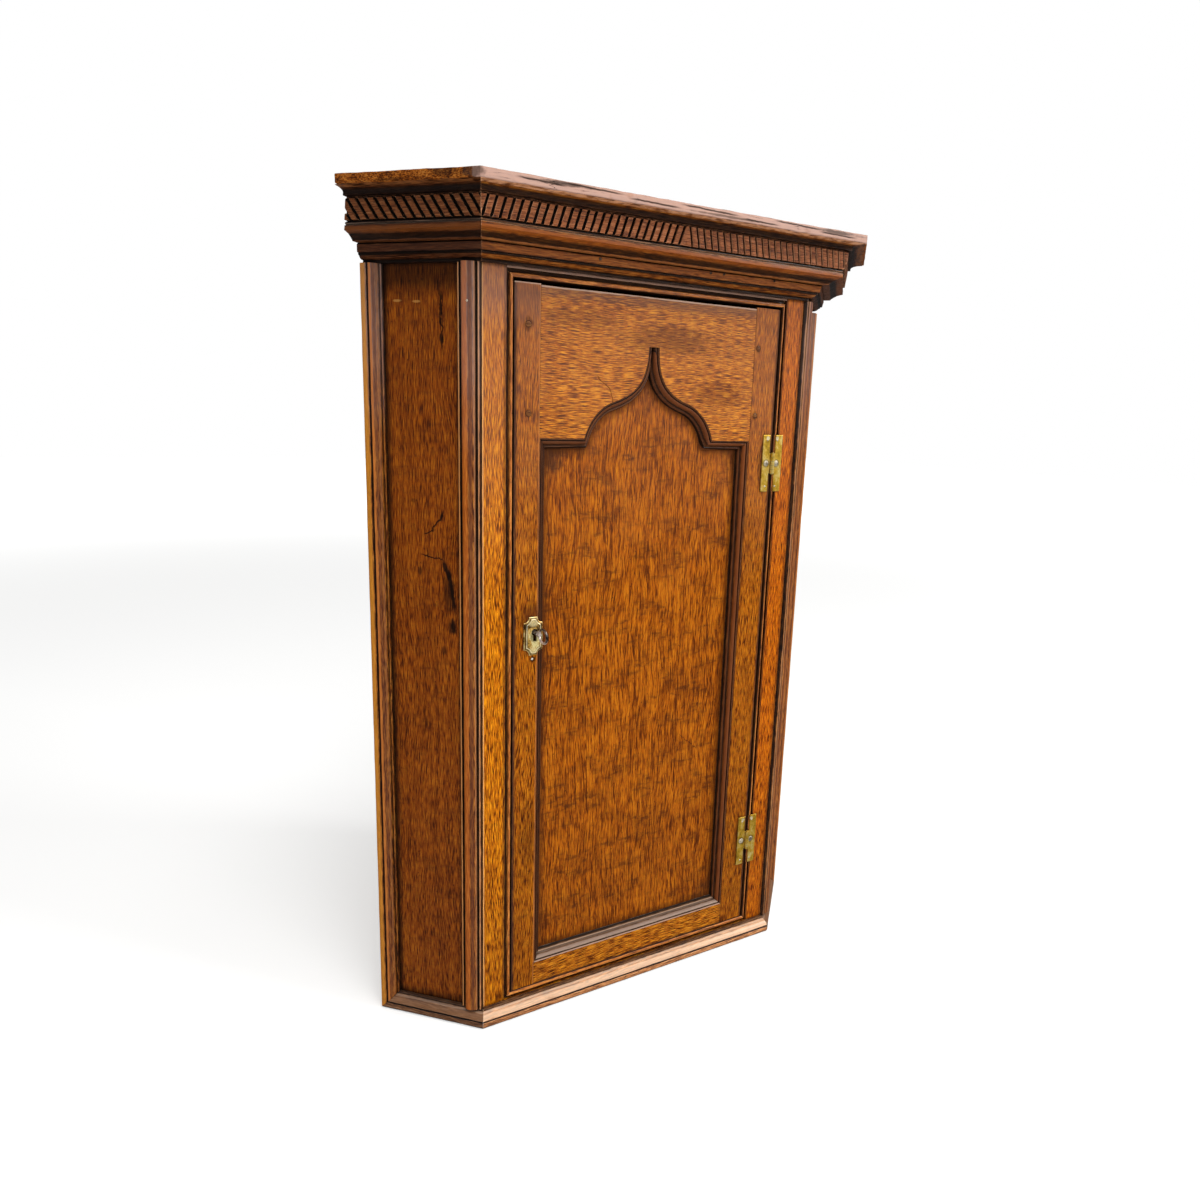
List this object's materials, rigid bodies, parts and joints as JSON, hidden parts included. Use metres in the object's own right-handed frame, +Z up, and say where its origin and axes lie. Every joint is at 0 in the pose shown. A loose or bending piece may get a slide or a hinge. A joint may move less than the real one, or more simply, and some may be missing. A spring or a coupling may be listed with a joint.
{
  "type": "corner cupboard",
  "caption": "Hanging corner cupboard in oak with canted returns, fluted and moulded cornice, ogee-arched panelled door on brass H hinges, and a key that throws the lock bolt.",
  "frame": {"origin": "on the underside, below the middle of the plan's bounding box, so midway between the cornice's front edge and the room corner", "axes": "+Z up, -Y out of the flat front, +X to the viewer's right, +Y towards the room corner"},
  "size_m": [0.7468, 0.5026, 1.007],
  "materials": {
    "oak_case": "waxed",
    "oak_moulding": "waxed, dark",
    "oak_door": "waxed",
    "oak_inside": "unpolished",
    "brass": "aged",
    "steel": "dull"
  },
  "bodies": {
    "case": {"top_board": "oak_moulding", "bottom_board": "oak_inside", "lower_shelf": "oak_inside", "upper_shelf": "oak_inside", "left_return_board": "oak_case", "right_return_board": "oak_case", "left_back_board": "oak_inside", "right_back_board": "oak_inside", "frame_left_stile": "oak_case", "frame_right_stile": "oak_case", "frame_bottom_rail": "oak_case", "frame_top_rail": "oak_case", "cockbead_left": "oak_moulding", "cockbead_right": "oak_moulding", "cockbead_top": "oak_moulding", "cockbead_bottom": "oak_moulding", "bed_moulding_front": "oak_moulding", "bed_moulding_left": "oak_moulding", "bed_moulding_right": "oak_moulding", "frieze_front": "oak_moulding", "frieze_left": "oak_moulding", "frieze_right": "oak_moulding", "crown_moulding_front": "oak_moulding", "crown_moulding_left": "oak_moulding", "crown_moulding_right": "oak_moulding", "base_moulding_front": "oak_moulding", "base_moulding_left": "oak_moulding", "base_moulding_right": "oak_moulding", "rear_upright_left": "oak_moulding", "rear_upright_right": "oak_moulding", "corner_upright_left": "oak_moulding", "corner_upright_right": "oak_moulding", "upper_hinge_frame_leaf": "brass", "lower_hinge_frame_leaf": "brass", "upper_hinge_pin": "brass", "lower_hinge_pin": "brass", "upper_hinge_frame_screw": "steel", "lower_hinge_frame_screw": "steel"},
    "door": {"door_lock_stile": "oak_door", "door_hinge_stile": "oak_door", "door_arched_rail": "oak_door", "door_bottom_rail": "oak_door", "door_panel": "oak_door", "panel_moulding_left": "oak_door", "panel_moulding_right": "oak_door", "panel_moulding_bottom": "oak_door", "panel_moulding_arch_left": "oak_door", "panel_moulding_arch_right": "oak_door", "peg_lock_upper": "oak_door", "peg_lock_lower": "oak_door", "peg_hinge_upper": "oak_door", "peg_hinge_lower": "oak_door", "upper_hinge_door_leaf": "brass", "lower_hinge_door_leaf": "brass", "upper_hinge_door_screw": "steel", "lower_hinge_door_screw": "steel", "escutcheon": "brass", "lock_case": "steel"},
    "key": {"key": "steel"},
    "lock_bolt": {"lock_bolt": "brass"}
  },
  "joints": [
    {"name": "door_hinge", "type": "hinge", "parent": "case", "child": "door", "pos_m": [0.191, -0.18055, 0.4394], "axis": [0, 0, 1], "range_deg": [0, 150]},
    {"name": "key_turn", "type": "hinge", "parent": "door", "child": "key", "pos_m": [-0.163, -0.17735, 0.5165], "axis": [0, -1, 0], "range_deg": [0, 180]},
    {"name": "bolt_slide", "type": "slide", "parent": "door", "child": "lock_bolt", "axis": [-1, 0, 0], "range_m": [0, 0.008]}
  ],
  "couplings": [
    {"joint": "bolt_slide", "follows": "key_turn", "m_per_rad": 0.0025465}
  ]
}
